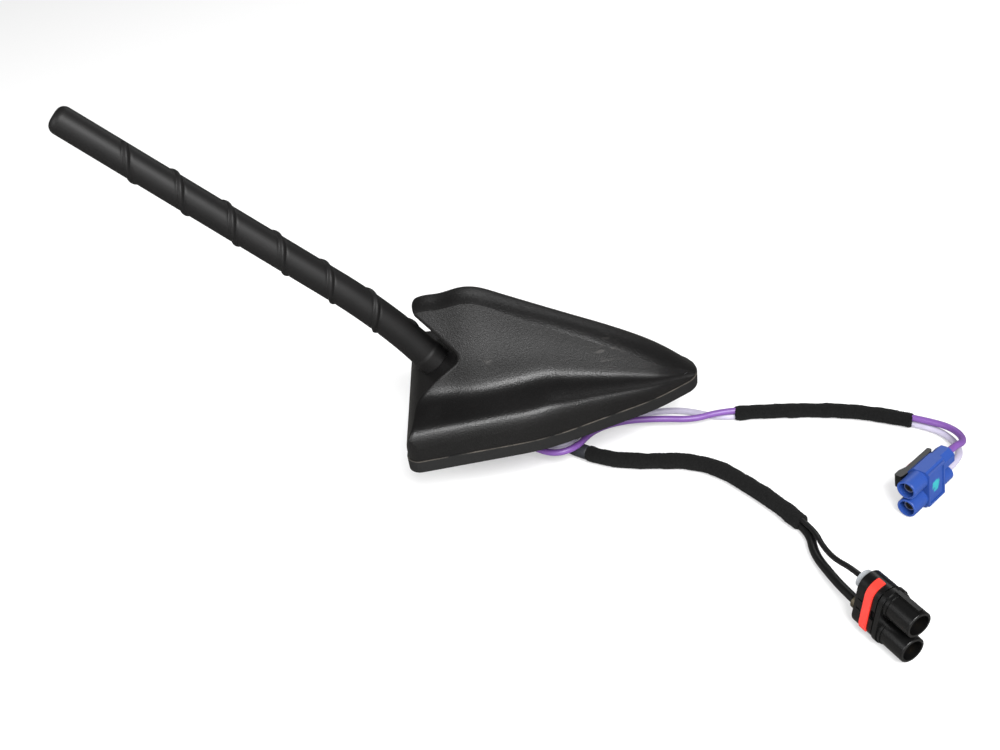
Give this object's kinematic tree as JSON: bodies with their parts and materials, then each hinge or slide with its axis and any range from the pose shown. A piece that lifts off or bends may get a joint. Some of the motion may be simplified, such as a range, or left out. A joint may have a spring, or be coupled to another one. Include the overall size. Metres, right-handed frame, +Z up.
{
  "type": "car roof antenna",
  "caption": "Black shark-fin style car roof antenna with a flexible spiral-ribbed mast, a sealed base with a fixing stud, and two cable tails ending in twin connectors.",
  "frame": {"origin": "on the roof plane under the gasket, at the axis of the fixing stud", "axes": "+X towards the nose of the fin, +Z up away from the roof, so the mast leans towards -X"},
  "size_m": [0.3047, 0.1742, 0.1607],
  "materials": {
    "cover_plastic": "fine-grained satin moulding",
    "mast_rubber": "satin moulded",
    "gasket_rubber": "matte",
    "grommet_rubber": "matte",
    "die_cast": "as cast",
    "zinc_steel": "zinc plated",
    "board_laminate": "solder mask",
    "patch_ceramic": "fired",
    "tin_sheet": "tin plated",
    "plain_brass": "machined",
    "violet_jacket": "satin",
    "white_jacket": "satin",
    "black_jacket": "satin",
    "fleece_tape": "fleece",
    "shrink_tube": "satin",
    "blue_plastic": "satin",
    "white_insulator": "plain",
    "black_plastic": "satin",
    "red_plastic": "satin",
    "grey_silicone": "matte",
    "crimp_brass": "dull"
  },
  "bodies": {
    "root": {"gasket": "gasket_rubber", "base_plate": "die_cast", "roof_stud": "zinc_steel", "cable_grommet": "grommet_rubber", "cover": "cover_plastic", "cover_screws": "zinc_steel", "circuit_board": "board_laminate", "board_screws": "zinc_steel", "gps_patch": "patch_ceramic", "shield_can": "tin_sheet", "phone_blade": "tin_sheet", "mast_socket": "plain_brass", "contact_spring": "plain_brass", "mast": "mast_rubber", "mast_stud": "zinc_steel", "coax_violet": "violet_jacket", "coax_white": "white_jacket", "cable_thick": "black_jacket", "cable_thin": "black_jacket", "sleeve_blue": "fleece_tape", "sleeve_black": "fleece_tape", "heat_shrink": "shrink_tube", "blue_housing": "blue_plastic", "blue_shells": "tin_sheet", "blue_insulators": "white_insulator", "blue_pins": "plain_brass", "blue_clip": "black_plastic", "blue_clip_lock": "red_plastic", "black_housing": "black_plastic", "black_lock": "red_plastic", "black_pins": "plain_brass", "crimp_ferrule": "crimp_brass", "wire_seal": "grey_silicone"}
  },
  "joints": []
}
